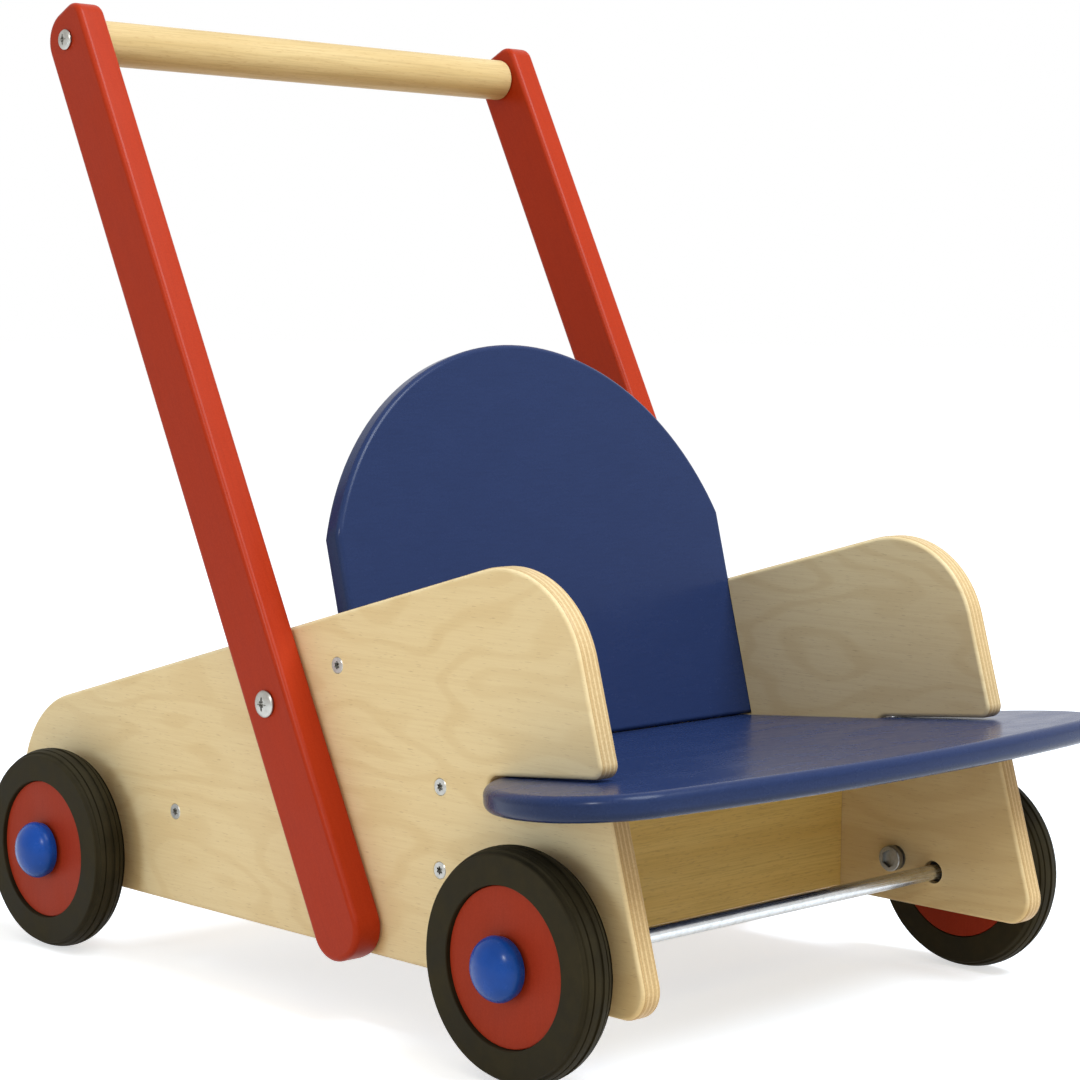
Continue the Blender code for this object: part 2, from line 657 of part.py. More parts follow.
def brake_socket():
    """The six-sided cut in the brake screw's head, in the brake's own frame."""
    deep = -PANEL_THICK - INSERT_FLANGE - 2 * FIT_GAP - BRAKE_TRAVEL - BRAKE_HEAD
    turns = [math.pi / 3 * i for i in range(6)]
    outline = [(BRAKE_SOCKET_R * math.cos(a), BRAKE_SOCKET_R * math.sin(a)) for a in turns]
    return slab(outline, deep - CUT_PAST, deep + BRAKE_SOCKET_DEPTH)


def make_brakes(panels, steel, nylon):
    """Per front wheel: an insert in the panel, a socket screw in it, and a pad on the screw's outer end.
    Local Z is 0 on the panel's outer face and runs outward. The screw is stored backed off."""
    y = FRONT_AXLE_Y + BRAKE_REACH * math.cos(BRAKE_ANGLE)
    z = AXLE_Z + BRAKE_REACH * math.sin(BRAKE_ANGLE)
    thread = BRAKE_SCREW_R + RUN_GAP
    insert_r = thread + INSERT_WALL
    flange_top = -PANEL_THICK - FIT_GAP
    flange_low = flange_top - INSERT_FLANGE
    head_top = flange_low - BRAKE_TRAVEL - FIT_GAP
    insert = [(thread, 0), (thread, flange_low), (INSERT_FLANGE_R, flange_low), (INSERT_FLANGE_R, flange_top)]
    insert += [(insert_r, flange_top), (insert_r, 0)]
    screw = [(0, FIT_GAP + BRAKE_TIP), (BRAKE_SCREW_R, FIT_GAP + BRAKE_TIP), (BRAKE_SCREW_R, head_top)]
    screw += [(BRAKE_HEAD_R, head_top), (BRAKE_HEAD_R, head_top - BRAKE_HEAD), (0, head_top - BRAKE_HEAD)]
    pad_low, pad_high = FIT_GAP, FIT_GAP + BRAKE_PAD
    socket = FIT_GAP * 2 + BRAKE_TIP
    pad = [(0, pad_high), (BRAKE_PAD_R, pad_high), (BRAKE_PAD_R, pad_low), (thread, pad_low)]
    pad += [(thread, socket), (0, socket)]
    for name, side in SIDES:
        face = at(side * HALF, y, z) @ out_of(side)
        slide = axis("brake_axis_" + name, face)
        piece("brake_insert_" + name, turned(insert, ring=True), steel, face)
        hole([panels[name]], lambda: straight_hole(insert_r, PANEL_THICK + CUT_PAST), face)
        made = piece("brake_screw_" + name, turned(screw), steel, parent=slide)
        hole([made], brake_socket, face)
        piece("brake_pad_" + name, turned(pad), nylon, parent=slide)


def main():
    for old in list(bpy.data.objects):
        bpy.data.objects.remove(old)
    birch = finish("birch_plywood", (0.72, 0.58, 0.35), 0.45)
    beech = finish("beech", (0.72, 0.55, 0.32), 0.5)
    red = finish("red_paint", (0.45, 0.04, 0.022), 0.4)
    blue = finish("blue_paint", (0.022, 0.045, 0.17), 0.3)
    cap_blue = finish("blue_plastic", (0.02, 0.07, 0.55), 0.35)
    rubber = finish("black_rubber", (0.03, 0.029, 0.024), 0.7)
    nylon = finish("dark_nylon", (0.04, 0.04, 0.04), 0.5)
    steel = finish("zinc_steel", (0.6, 0.6, 0.58), 0.3, 1.0)

    panels = make_panels(birch)
    seat = make_seat(blue)
    backrest = make_backrest(panels, blue)
    boards = make_cross_boards(beech)
    handle = make_handle(red, beech)
    make_handle_fasteners(handle, panels, steel)
    make_body_screws(panels, boards, seat, backrest, steel)
    make_wheels(panels, red, rubber, nylon, steel, cap_blue)
    make_brakes(panels, steel, nylon)
    bpy.context.view_layer.update()
    cut_holes()


main()
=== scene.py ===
"""Looks of the baby push walker: finer pieces that stand for the CAD nodes, their wood, paint, rubber and
metal finishes, and a plain studio. Metres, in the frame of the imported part: +Z up, front at -Y, right at -X.
"""

import json
import math

import bmesh
import bpy
from mathutils import Matrix, Vector


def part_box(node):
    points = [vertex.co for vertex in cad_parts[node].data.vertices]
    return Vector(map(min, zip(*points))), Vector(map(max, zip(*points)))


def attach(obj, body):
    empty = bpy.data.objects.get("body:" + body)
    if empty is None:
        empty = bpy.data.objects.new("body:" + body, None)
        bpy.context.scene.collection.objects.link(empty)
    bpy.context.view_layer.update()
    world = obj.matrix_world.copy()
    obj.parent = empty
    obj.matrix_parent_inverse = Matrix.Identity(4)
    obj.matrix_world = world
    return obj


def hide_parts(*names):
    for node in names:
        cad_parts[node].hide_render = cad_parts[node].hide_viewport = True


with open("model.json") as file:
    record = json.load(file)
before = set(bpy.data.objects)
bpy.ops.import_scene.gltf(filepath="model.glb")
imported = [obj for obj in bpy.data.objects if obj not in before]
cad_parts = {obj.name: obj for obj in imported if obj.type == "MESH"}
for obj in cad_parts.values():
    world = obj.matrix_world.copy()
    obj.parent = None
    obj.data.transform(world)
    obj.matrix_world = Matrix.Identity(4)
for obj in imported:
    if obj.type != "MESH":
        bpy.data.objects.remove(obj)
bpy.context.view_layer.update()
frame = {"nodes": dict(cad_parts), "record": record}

# Sizes that the boards share with the part
FIT_GAP = 0.0003
HALF = 0.1500  # to the panels' outer faces
PANEL_THICK = 0.0120
PANEL_EDGE_R = 0.0025
PANEL_BOTTOM = -0.0198  # heights of the body are from the axle line
PANEL_TOP = 0.1422
PANEL_TOP_SLOPE = math.radians(15.57)
PANEL_FRONT_Y = -0.2242
PANEL_FRONT_LEAN = math.radians(15.96)
PANEL_REAR_Y = 0.2630
TOP_CORNER_R = 0.0600
FRONT_BOTTOM_R = 0.0135
REAR_BOTTOM_R = 0.0300
NOTCH_R = 0.0060
NOTCH_FLARE = math.radians(0.6)
NOTCH_END_ROOM = 0.0015
SEAT_HEIGHT = 0.0676
SEAT_TILT = math.radians(5.12)
SEAT_THICK = 0.0120
SEAT_EDGE_R = 0.0045
SEAT_WIDTH = 0.3940
SEAT_FRONT = -0.2630
SEAT_FRONT_ARC_R = 0.8400
EAR_FRONT_R = 0.0454
EAR_SIDE = 0.0004  # straight length between an ear's two arcs
EAR_REAR_R = 0.0800
SEAT_DEPTH = 0.2288
SEAT_TAIL = 0.0040
BACK_LEAN = math.radians(14.71)
BACK_THICK = 0.0120
BACK_EDGE_R = 0.0030
BACK_HEIGHT = 0.2145
BACK_ARC_RISE = 0.0982
BACK_HOUSING = 0.0030  # each end in a groove of its panel
BOARD_EDGE_R = 0.0015
ARM_WIDTH = 0.0345
ARM_THICK = 0.0170
ARM_EDGE_R = 0.0030
ARM_LEAN = math.radians(26.70)
ARM_FOOT = 0.1335
ARM_TOP = 0.0165
ARM_TOP_REAR_R = 0.0160
ARM_TOP_FRONT_R = 0.0090
ARM_FOOT_R = 0.0160

# Sizes of the turned pieces
RIM_R = 0.0372
RIM_RIB_HEIGHT = 0.0020
RIM_RIB_WIDTH = 0.0060
RIM_CHAMFER = 0.0004
TYRE_CROWN = 0.0035
TYRE_EASE = 0.0004  # at the edges of the side walls
TREAD_GROOVES = (  # (middle, width) across the tread
    (0.0079, 0.0023),
    (0.0044, 0.0008),
    (0.0, 0.0022),
    (-0.0044, 0.0008),
    (-0.0079, 0.0023),
)
TREAD_GROOVE_DEPTH = 0.0009
TREAD_GROOVE_SLOPE = 0.0002
HUB_BOSS_R = 0.0105
HUB_BOSS = 0.0014
BUSH_FLANGE = 0.0015
BUSH_EASE = 0.0004
BUSH_BORE_R = 0.0061
CAP_RIM = 0.0032
CAP_GRIP = 0.0050
GRIP_EASE = 0.0008
AXLE_EASE = 0.0006

# Fasteners
WOOD_SCREW_R = 0.0020
WOOD_SCREW_HEAD_R = 0.0042
WOOD_SCREW_HEAD = 0.0024
WOOD_SCREW_EASE = 0.0003
SINK_ROOM = 0.0003  # of a countersink round its screw
STAR_LOBES = 6
STAR_REACH = 0.0021
STAR_LOBE_WIDTH = 0.0009
STAR_VALLEY = 0.0013
STAR_DEPTH = 0.0018
GRIP_SCREW_R = 0.0025
GRIP_SCREW_HEAD = 0.0024
ARM_BOLT_R = 0.0030
ARM_BOLT_HEAD = 0.0028
ARM_NUT_BORE_R = 0.0048
FOOT_SCREW_HEAD = 0.0020
PAN_RIM = 0.25  # share of a pan head's height that is upright
PAN_DOME_POWER = 0.8  # fuller than a plain ellipse
PAN_UNDERSIDE = 0.97  # share of the head's radius
CROSS_LOBES = 8
CROSS_LONG = 0.55  # these four are shares of the head's radius
CROSS_SHORT = 0.30
CROSS_LOBE_WIDTH = 0.17
CROSS_VALLEY = 0.22
CROSS_DEPTH = 0.6  # share of the head's height
RECESS_TAPER = 0.7  # a recess's floor against its mouth
BRAKE_SCREW_R = 0.0040
BRAKE_TIP = 0.0030  # screw length inside the pad
BRAKE_HEAD = 0.0033
BRAKE_SOCKET_R = 0.0049  # to the corners of its six sides
BRAKE_SOCKET_DEPTH = 0.0022
BRAKE_EASE = 0.0004
INSERT_BORE_R = 0.0062
PAST = 0.0010  # how far a cutter runs past the face that it opens

# Fineness of the meshes
ARC_SAG = 0.00003
EASE_STEPS = 6
TYRE_STEPS = 128
ROUND_STEPS = 64
SCREW_STEPS = 40
PAN_STEPS = 10
TREAD_STEPS = 3  # between two grooves
CORNER_SHARE = 0.49  # of a side, at most, that a corner's arc takes up
SHARP = math.radians(32.0)
WELD = 1e-6

# What follows from the sizes
INSIDE = HALF - PANEL_THICK - FIT_GAP
CLOSE_FIT = FIT_GAP / 3
SIDES = (("right", -1), ("left", 1))
AXLE_Z = sum(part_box("front_axle"), Vector()).z / 2
SIDE_VIEW = Matrix(((0, 0, 1, 0), (1, 0, 0, 0), (0, 1, 0, 0), (0, 0, 0, 1)))
SEAT_FRAME = Matrix.Translation((0, 0, AXLE_Z + SEAT_HEIGHT)) @ Matrix.Rotation(-SEAT_TILT, 4, "X")
BODY_OF = {node: body for body, nodes in frame["record"]["behaviour"]["bodies"].items() for node in nodes}


# Places

def at(x, y, z):
    return Matrix.Translation((x, y, z))


def out_of(side):
    """A frame whose local Z points away from the walker's middle on that side."""
    return Matrix.Rotation(side * math.pi / 2, 4, "Y")


def middle(node):
    low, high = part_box(node)
    return (low + high) / 2


def length_x(node):
    low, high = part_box(node)
    return high.x - low.x


def radius(node):
    """Of a node that is round about an axis along X."""
    low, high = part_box(node)
    return (high.z - low.z) / 2


def facing(node, side):
    """At the node's outer end, with local Z outward."""
    low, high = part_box(node)
    centre = (low + high) / 2
    return at(high.x if side > 0 else low.x, centre.y, centre.z) @ out_of(side)


def seat_point(along, above):
    """World y and z of a point along the seat and above its top face."""
    place = SEAT_FRAME @ Vector((0, along, above))
    return place.y, place.z


# Meshes

def arc(centre, size, start, end):
    """Points of an arc between two angles, both ends included."""
    widest = 2 * math.acos(max(0.0, 1 - ARC_SAG / size))
    steps = max(1, math.ceil(abs(end - start) / widest))
    angles = [start + (end - start) * i / steps for i in range(steps + 1)]
    return [(centre[0] + size * math.cos(a), centre[1] + size * math.sin(a)) for a in angles]


def rounded(corners):
    """A closed outline from (point, radius) corners."""
    points = []
    count = len(corners)
    for i, (corner, size) in enumerate(corners):
        corner = Vector(corner)
        back = Vector(corners[i - 1][0]) - corner
        ahead = Vector(corners[(i + 1) % count][0]) - corner
        half = back.angle(ahead) / 2
        reach = min(size / math.tan(half), CORNER_SHARE * back.length, CORNER_SHARE * ahead.length)
        size = reach * math.tan(half)
        inward = (back.normalized() + ahead.normalized()).normalized()
        centre = corner + inward * (size / math.sin(half))
        first = corner + back.normalized() * reach - centre
        last = corner + ahead.normalized() * reach - centre
        start = math.atan2(first.y, first.x)
        turn = (math.atan2(last.y, last.x) - start + math.pi) % (2 * math.pi) - math.pi
        points += arc(centre, size, start, start + turn)
    return points


def crossing(point, direction, other, other_direction):
    """Where two lines of a side view meet."""
    point, direction, other = Vector(point), Vector(direction), Vector(other)
    across = Vector((-other_direction[1], other_direction[0]))
    return point + direction * ((other - point).dot(across) / direction.dot(across))


def slab(outline, low, high, edge_r=0.0, low_outline=None):
    """A board with an outline in local X and Y, from low to high in local Z, its rims eased to edge_r."""
    shape = bmesh.new()
    bottom = [shape.verts.new((x, y, low)) for x, y in low_outline or outline]
    top = [shape.verts.new((x, y, high)) for x, y in outline]
    caps = [shape.faces.new(bottom), shape.faces.new(top)]
    rims = [edge for cap in caps for edge in cap.edges]
    count = len(outline)
    for i in range(count):
        j = (i + 1) % count
        shape.faces.new((bottom[i], bottom[j], top[j], top[i]))
    bmesh.ops.recalc_face_normals(shape, faces=shape.faces)
    if edge_r:
        bmesh.ops.bevel(shape, geom=rims, offset=edge_r, segments=EASE_STEPS, profile=0.5, affect="EDGES")
    return shape


def turned(profile, steps=ROUND_STEPS, ring=False):
    """A solid of revolution about local Z from (radius, z) points. A ring's profile closes on itself."""
    shape = bmesh.new()
    points = [shape.verts.new((r, 0, z)) for r, z in profile]
    pairs = list(zip(points, points[1:]))
    if ring:
        pairs.append((points[-1], points[0]))
    edges = [shape.edges.new(pair) for pair in pairs]
    bmesh.ops.spin(
        shape,
        geom=points + edges,
        cent=(0, 0, 0),
        axis=(0, 0, 1),
        angle=2 * math.pi,
        steps=steps,
        use_merge=True,
    )
    bmesh.ops.remove_doubles(shape, verts=shape.verts, dist=WELD)
    bmesh.ops.recalc_face_normals(shape, faces=shape.faces)
    return shape


def moved(shape, place):
    shape.transform(place)
    return shape


def together(shapes):
    """One mesh from several closed shapes that don't touch."""
    merged = bmesh.new()
    for shape in shapes:
        loose = bpy.data.meshes.new("loose")
        shape.to_mesh(loose)
        shape.free()
        merged.from_mesh(loose)
        bpy.data.meshes.remove(loose)
    return merged


def thing(name, shape):
    mesh = bpy.data.meshes.new(name)
    shape.to_mesh(mesh)
    shape.free()
    made = bpy.data.objects.new(name, mesh)
    bpy.context.scene.collection.objects.link(made)
    return made


def carved(shape, cutter):
    """The shape with a cutter's solids, which may cross each other, taken out of it."""
    body, tool = thing("carved", shape), thing("tool", cutter)
    cut = body.modifiers.new("cut", "BOOLEAN")
    cut.object = tool
    cut.use_self = True
    bpy.context.view_layer.update()
    result = bpy.data.meshes.new_from_object(body.evaluated_get(bpy.context.evaluated_depsgraph_get()))
    made = bmesh.new()
    made.from_mesh(result)
    for old in (body, tool):
        bpy.data.objects.remove(old)
    bpy.data.meshes.remove(result)
    return made


def dress(node, shape, material, place=None):
    """A finer piece that stands for a CAD node, rides on its body and takes its material slot."""
    piece = thing("fine_" + node, shape)
    piece.data.shade_smooth()
    piece.data.set_sharp_from_angle(angle=SHARP)
    piece.data.materials.append(material)
    piece.matrix_world = place or Matrix()
    normals = piece.modifiers.new("flat faces stay flat", "WEIGHTED_NORMAL")
    normals.keep_sharp = True
    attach(piece, BODY_OF[node])
    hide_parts(node)
    return piece


# Materials

VENEER = (0.840, 0.700, 0.430)
VENEER_RINGS = (0.740, 0.575, 0.315)
VENEER_FIBRE = (0.690, 0.520, 0.275)
VENEER_CLOUD = (0.860, 0.735, 0.475)
VENEER_PORES = (0.420, 0.270, 0.120)
LONG_PLY = ((0.700, 0.555, 0.320), (0.610, 0.455, 0.240))
CUT_PLY = ((0.490, 0.335, 0.160), (0.600, 0.440, 0.235))
GLUE = (0.330, 0.200, 0.085)
BEECH_FLECKS = (0.400, 0.235, 0.095)
# the cross boards' beech: yellower and deeper than the bar's, as painted warm shade for the shade under the
# seat
BOARD_BEECH_PAINTED_SHADE = ((0.800, 0.600, 0.215), (0.720, 0.505, 0.158))
BAR_BEECH = ((0.645, 0.500, 0.262), (0.560, 0.405, 0.186))
SEAT_BLUE = ((0.0128, 0.0262, 0.0900), (0.0170, 0.0330, 0.1065))
ARM_RED = ((0.360, 0.0245, 0.0030), (0.395, 0.0310, 0.0055))
WHEEL_RED = ((0.300, 0.026, 0.007), (0.335, 0.032, 0.010))
TYRE_BLACK = ((0.018, 0.0145, 0.0065), (0.031, 0.026, 0.013))
CAP_BLUE = ((0.004, 0.062, 0.380), (0.008, 0.076, 0.430))
DARK_NYLON = ((0.016, 0.015, 0.014), (0.026, 0.025, 0.023))
AXLE_STEEL = ((0.640, 0.650, 0.650), (0.520, 0.525, 0.520))
ZINC = ((0.430, 0.420, 0.385), (0.330, 0.320, 0.285))
DULL_ZINC = ((0.300, 0.295, 0.275), (0.220, 0.215, 0.195))
PLIES = 9
SIDE_PLIES = PLIES // 2  # layers on each side of the middle one
WOOD_GLOSS = 0.25
RUBBER_GLOSS = 0.10


def put(tree, socket, value):
    if isinstance(value, bpy.types.NodeSocket):
        tree.links.new(value, socket)
    else:
        socket.default_value = value


def add(tree, kind, inputs=(), **settings):
    """A shader node with its settings, and its inputs set to values or linked to sockets."""
    node = tree.nodes.new("ShaderNode" + kind)
    for key, value in settings.items():
        setattr(node, key, value)
    for key, value in dict(inputs).items():
        put(tree, node.inputs[key], value)
    return node


def calc(tree, operation, *values):
    node = add(tree, "Math", operation=operation)
    for socket, value in zip(node.inputs, values):
        put(tree, socket, value)
    return node.outputs[0]


def spread(tree, value, low, high, to_low=0.0, to_high=1.0):
    """The value taken from one range to another, clamped and eased."""
    inputs = {"Value": value, "From Min": low, "From Max": high, "To Min": to_low, "To Max": to_high}
    return add(tree, "MapRange", inputs, interpolation_type="SMOOTHSTEP").outputs["Result"]


def mix(tree, factor, first, second, blend="MIX"):
    node = add(tree, "Mix", data_type="RGBA", blend_type=blend)
    for index, value in ((0, factor), (6, first), (7, second)):
        value = (*value, 1.0) if isinstance(value, tuple) else value
        put(tree, node.inputs[index], value)
    return node.outputs[2]


def noise(tree, vector, scale=1.0, detail=3.0, roughness=0.5):
    inputs = {"Vector": vector, "Scale": scale, "Detail": detail, "Roughness": roughness}
    return add(tree, "TexNoise", inputs).outputs[0]


def grain_space(tree, along, shift=(0.0, 0.0, 0.0)):
    """The piece's own coordinates, turned so that X runs along the grain."""
    own = add(tree, "TexCoord").outputs["Object"]
    turn = {"X": (0, 0, 0), "Y": (0, 0, -math.pi / 2), "Z": (0, math.pi / 2, 0)}[along]
    return add(tree, "Mapping", {"Vector": own, "Rotation": turn, "Location": shift}).outputs[0]


def stretched(tree, vector, scale):
    return add(tree, "Mapping", {"Vector": vector, "Scale": scale}).outputs[0]


def bumped(tree, shader, height, distance, strength=1.0):
    bump = add(tree, "Bump", {"Height": height, "Distance": distance, "Strength": strength})
    put(tree, shader.inputs["Normal"], bump.outputs[0])


def new_material(name, **values):
    """A Principled material, with values that hold all over it set on the shader."""
    material = bpy.data.materials.new(name)
    material.use_nodes = True
    shader = material.node_tree.nodes["Principled BSDF"]
    for key, value in values.items():
        shader.inputs[key.replace("_", " ").title()].default_value = value
    return material, material.node_tree, shader


def birch_plywood(name, shift):
    """Rotary-cut veneer on the faces, and nine layers with dark glue lines on the rims."""
    material, tree, shader = new_material(name)
    grain = grain_space(tree, "X", shift)
    own = add(tree, "TexCoord").outputs["Object"]
    depth = add(tree, "SeparateXYZ", {"Vector": own}).outputs["Z"]

    figure = noise(tree, stretched(tree, grain, (6.0, 16.0, 6.0)), 1.0, 2.0, 0.45)
    rings = calc(tree, "SINE", calc(tree, "MULTIPLY", figure, 60.0))
    fibre = noise(tree, stretched(tree, grain, (28.0, 900.0, 900.0)), 1.0, 3.0, 0.6)
    cloud = noise(tree, grain, 9.0, 3.0, 0.55)
    pores = noise(tree, stretched(tree, grain, (160.0, 2200.0, 2200.0)), 1.0, 1.0)
    veneer = mix(tree, spread(tree, rings, 0.0, 1.0, 0.0, 0.50), VENEER, VENEER_RINGS)
    veneer = mix(tree, spread(tree, fibre, 0.35, 0.72, 0.0, 0.30), veneer, VENEER_FIBRE)
    veneer = mix(tree, spread(tree, cloud, 0.35, 0.70, 0.0, 0.35), veneer, VENEER_CLOUD)
    veneer = mix(tree, spread(tree, pores, 0.66, 0.74, 0.0, 0.35), veneer, VENEER_PORES)

    wave = calc(tree, "MULTIPLY", calc(tree, "SUBTRACT", cloud, 0.5), 0.0003)
    layer = calc(tree, "DIVIDE", calc(tree, "ADD", depth, wave), PANEL_THICK / PLIES)
    nearest = calc(tree, "MINIMUM", SIDE_PLIES, calc(tree, "ROUND", layer))
    nearest = calc(tree, "MAXIMUM", -SIDE_PLIES, nearest)
    crossed = calc(tree, "MODULO", calc(tree, "ABSOLUTE", nearest), 2.0)
    from_middle = calc(tree, "ABSOLUTE", calc(tree, "SUBTRACT", layer, nearest))
    inner = spread(tree, calc(tree, "ABSOLUTE", layer), 3.6, 3.7, 1.0, 0.0)
    glue = calc(tree, "MULTIPLY", inner, spread(tree, from_middle, 0.40, 0.49, 0.0, 0.60))
    ends = noise(tree, own, 1800.0, 2.0, 0.6)
    cut = mix(tree, spread(tree, ends, 0.35, 0.65), *CUT_PLY)
    long = mix(tree, spread(tree, fibre, 0.35, 0.70), *LONG_PLY)
    colour = mix(tree, inner, veneer, mix(tree, crossed, long, cut))
    colour = mix(tree, glue, colour, GLUE)
    put(tree, shader.inputs["Base Color"], colour)
    put(tree, shader.inputs["Roughness"], spread(tree, fibre, 0.3, 0.7, 0.40, 0.52))
    shader.inputs["Specular IOR Level"].default_value = WOOD_GLOSS
    height = calc(tree, "SUBTRACT", fibre, calc(tree, "MULTIPLY", glue, 0.6))
    bumped(tree, shader, height, 0.00012, 0.35)
    return material


def beech(name, along, shift, pale, deep):
    """Solid beech with short dark flecks along the grain."""
    material, tree, shader = new_material(name)
    grain = grain_space(tree, along, shift)
    cloud = noise(tree, stretched(tree, grain, (5.0, 60.0, 60.0)), 1.0, 3.0, 0.5)
    fibre = noise(tree, stretched(tree, grain, (22.0, 1100.0, 1100.0)), 1.0, 3.0, 0.6)
    flecks = noise(tree, stretched(tree, grain, (190.0, 1500.0, 1500.0)), 1.0, 1.5, 0.4)
    colour = mix(tree, spread(tree, cloud, 0.3, 0.7), pale, deep)
    deepest = tuple(0.82 * part for part in deep)
    colour = mix(tree, spread(tree, fibre, 0.40, 0.72, 0.0, 0.60), colour, deepest)
    colour = mix(tree, spread(tree, flecks, 0.60, 0.70, 0.0, 0.32), colour, BEECH_FLECKS)
    put(tree, shader.inputs["Base Color"], colour)
    put(tree, shader.inputs["Roughness"], spread(tree, fibre, 0.3, 0.7, 0.42, 0.56))
    shader.inputs["Specular IOR Level"].default_value = WOOD_GLOSS
    bumped(tree, shader, fibre, 0.00010, 0.35)
    return material


def paint(name, along, main, light, roughness, gloss, relief):
    """Satin lacquer over sanded wood: faint grain and a fine stipple under the gloss."""
    material, tree, shader = new_material(name)
    grain = grain_space(tree, along)
    mottle = noise(tree, stretched(tree, grain, (25.0, 50.0, 50.0)), 1.0, 5.0, 0.7)
    fibre = noise(tree, stretched(tree, grain, (60.0, 900.0, 900.0)), 1.0, 3.0, 0.55)
    stipple = noise(tree, grain, 1100.0, 2.0, 0.6)
    colour = mix(tree, spread(tree, stipple, 0.30, 0.70), main, light)
    dark = tuple(0.80 * part for part in main)
    colour = mix(tree, spread(tree, fibre, 0.40, 0.75, 0.0, 0.30), colour, dark)
    colour = mix(tree, spread(tree, mottle, 0.40, 0.70, 0.0, 0.25), colour, light)
    put(tree, shader.inputs["Base Color"], colour)
    uneven = spread(tree, mottle, 0.3, 0.7, roughness - 0.03, roughness + 0.05)
    put(tree, shader.inputs["Roughness"], uneven)
    shader.inputs["Specular IOR Level"].default_value = gloss
    height = calc(tree, "ADD", calc(tree, "MULTIPLY", fibre, 0.6), stipple)
    bumped(tree, shader, height, 0.00006, relief)
    return material


def rubber(name):
    """Matt black rubber with a faint bloom."""
    material, tree, shader = new_material(name)
    own = add(tree, "TexCoord").outputs["Object"]
    bloom = noise(tree, own, 60.0, 4.0, 0.6)
    fine = noise(tree, own, 1600.0, 2.0, 0.6)
    colour = mix(tree, spread(tree, bloom, 0.3, 0.75), *TYRE_BLACK)
    put(tree, shader.inputs["Base Color"], colour)
    put(tree, shader.inputs["Roughness"], spread(tree, bloom, 0.3, 0.7, 0.58, 0.72))
    shader.inputs["Specular IOR Level"].default_value = RUBBER_GLOSS
    bumped(tree, shader, fine, 0.00008, 0.3)
    return material


def moulded(name, main, light, roughness, gloss):
    """Moulded plastic with a slightly uneven gloss."""
    material, tree, shader = new_material(name)
    own = add(tree, "TexCoord").outputs["Object"]
    flow = noise(tree, own, 120.0, 3.0, 0.6)
    fine = noise(tree, own, 900.0, 2.0, 0.5)
    put(tree, shader.inputs["Base Color"], mix(tree, spread(tree, flow, 0.3, 0.75), main, light))
    uneven = spread(tree, flow, 0.3, 0.7, roughness - 0.04, roughness + 0.06)
    put(tree, shader.inputs["Roughness"], uneven)
    shader.inputs["Specular IOR Level"].default_value = gloss
    height = calc(tree, "ADD", flow, calc(tree, "MULTIPLY", fine, 0.4))
    bumped(tree, shader, height, 0.00012, 0.25)
    return material


def metal(name, main, dull, stretch, roughness):
    """Bright metal with fine marks that run as its own Z does."""
    material, tree, shader = new_material(name, metallic=1.0)
    own = add(tree, "TexCoord").outputs["Object"]
    marks = noise(tree, stretched(tree, own, (2500.0, 2500.0, stretch)), 1.0, 3.0, 0.6)
    stain = noise(tree, own, 250.0, 3.0, 0.6)
    put(tree, shader.inputs["Base Color"], mix(tree, spread(tree, stain, 0.4, 0.75), main, dull))
    uneven = spread(tree, marks, 0.3, 0.7, roughness - 0.06, roughness + 0.10)
    put(tree, shader.inputs["Roughness"], uneven)
    bumped(tree, shader, marks, 0.00003, 0.3)
    return material


# Boards

def ear_places():
    """Along the seat: centres of an ear's front and rear arcs, and where it meets the panel's inner face."""
    out = SEAT_WIDTH / 2 - EAR_FRONT_R
    between = SEAT_FRONT_ARC_R - EAR_FRONT_R
    front = SEAT_FRONT + SEAT_FRONT_ARC_R - math.sqrt(between**2 - out**2)
    rear = front + EAR_SIDE
    inward = INSIDE - (SEAT_WIDTH / 2 - EAR_REAR_R)
    return front, rear, rear + math.sqrt(EAR_REAR_R**2 - inward**2)


def panel_outline():
    """The side panel seen from the side, in world y and z."""
    rise = Vector((-math.cos(PANEL_TOP_SLOPE), math.sin(PANEL_TOP_SLOPE)))
    lean = Vector((math.sin(PANEL_FRONT_LEAN), math.cos(PANEL_FRONT_LEAN)))
    along_seat = (math.cos(SEAT_TILT), -math.sin(SEAT_TILT))
    top, front = (0, AXLE_Z + PANEL_TOP), (PANEL_FRONT_Y, AXLE_Z)
    bottom = AXLE_Z + PANEL_BOTTOM
    notch_end = ear_places()[2] + NOTCH_END_ROOM
    flared = (math.cos(SEAT_TILT + NOTCH_FLARE), -math.sin(SEAT_TILT + NOTCH_FLARE))
    over = seat_point(notch_end, FIT_GAP)
    under = seat_point(notch_end, -SEAT_THICK - FIT_GAP)
    return rounded(
        [
            (crossing(front, lean, (0, bottom), (1, 0)), FRONT_BOTTOM_R),
            ((PANEL_REAR_Y, bottom), REAR_BOTTOM_R),
            (crossing((PANEL_REAR_Y, 0), (0, 1), top, rise), TOP_CORNER_R),
            (crossing(front, lean, top, rise), TOP_CORNER_R),
            (crossing(front, lean, over, flared), NOTCH_R),
            (over, NOTCH_R),
            (under, NOTCH_R),
            (crossing(front, lean, under, along_seat), NOTCH_R),
        ]
    )


def countersink(length):
    """The cut that a countersunk screw sits in: z = 0 is the board's face."""
    wide, narrow = WOOD_SCREW_HEAD_R + SINK_ROOM, WOOD_SCREW_R + SINK_ROOM
    profile = [(0, PAST), (wide, PAST), (wide, 0)]
    profile += [(narrow, -WOOD_SCREW_HEAD), (narrow, -length), (0, -length)]
    return turned(profile, SCREW_STEPS)


def bore(size, low, high):
    return turned([(0, high), (size, high), (size, low), (0, low)], SCREW_STEPS)


def back_frame():
    """At the foot of the backrest's front face: local Y runs up the board, and local Z out of its front."""
    foot = at(0, *seat_point(SEAT_FRONT + SEAT_DEPTH, 0))
    return foot @ Matrix.Rotation(math.pi / 2 - BACK_LEAN, 4, "X")


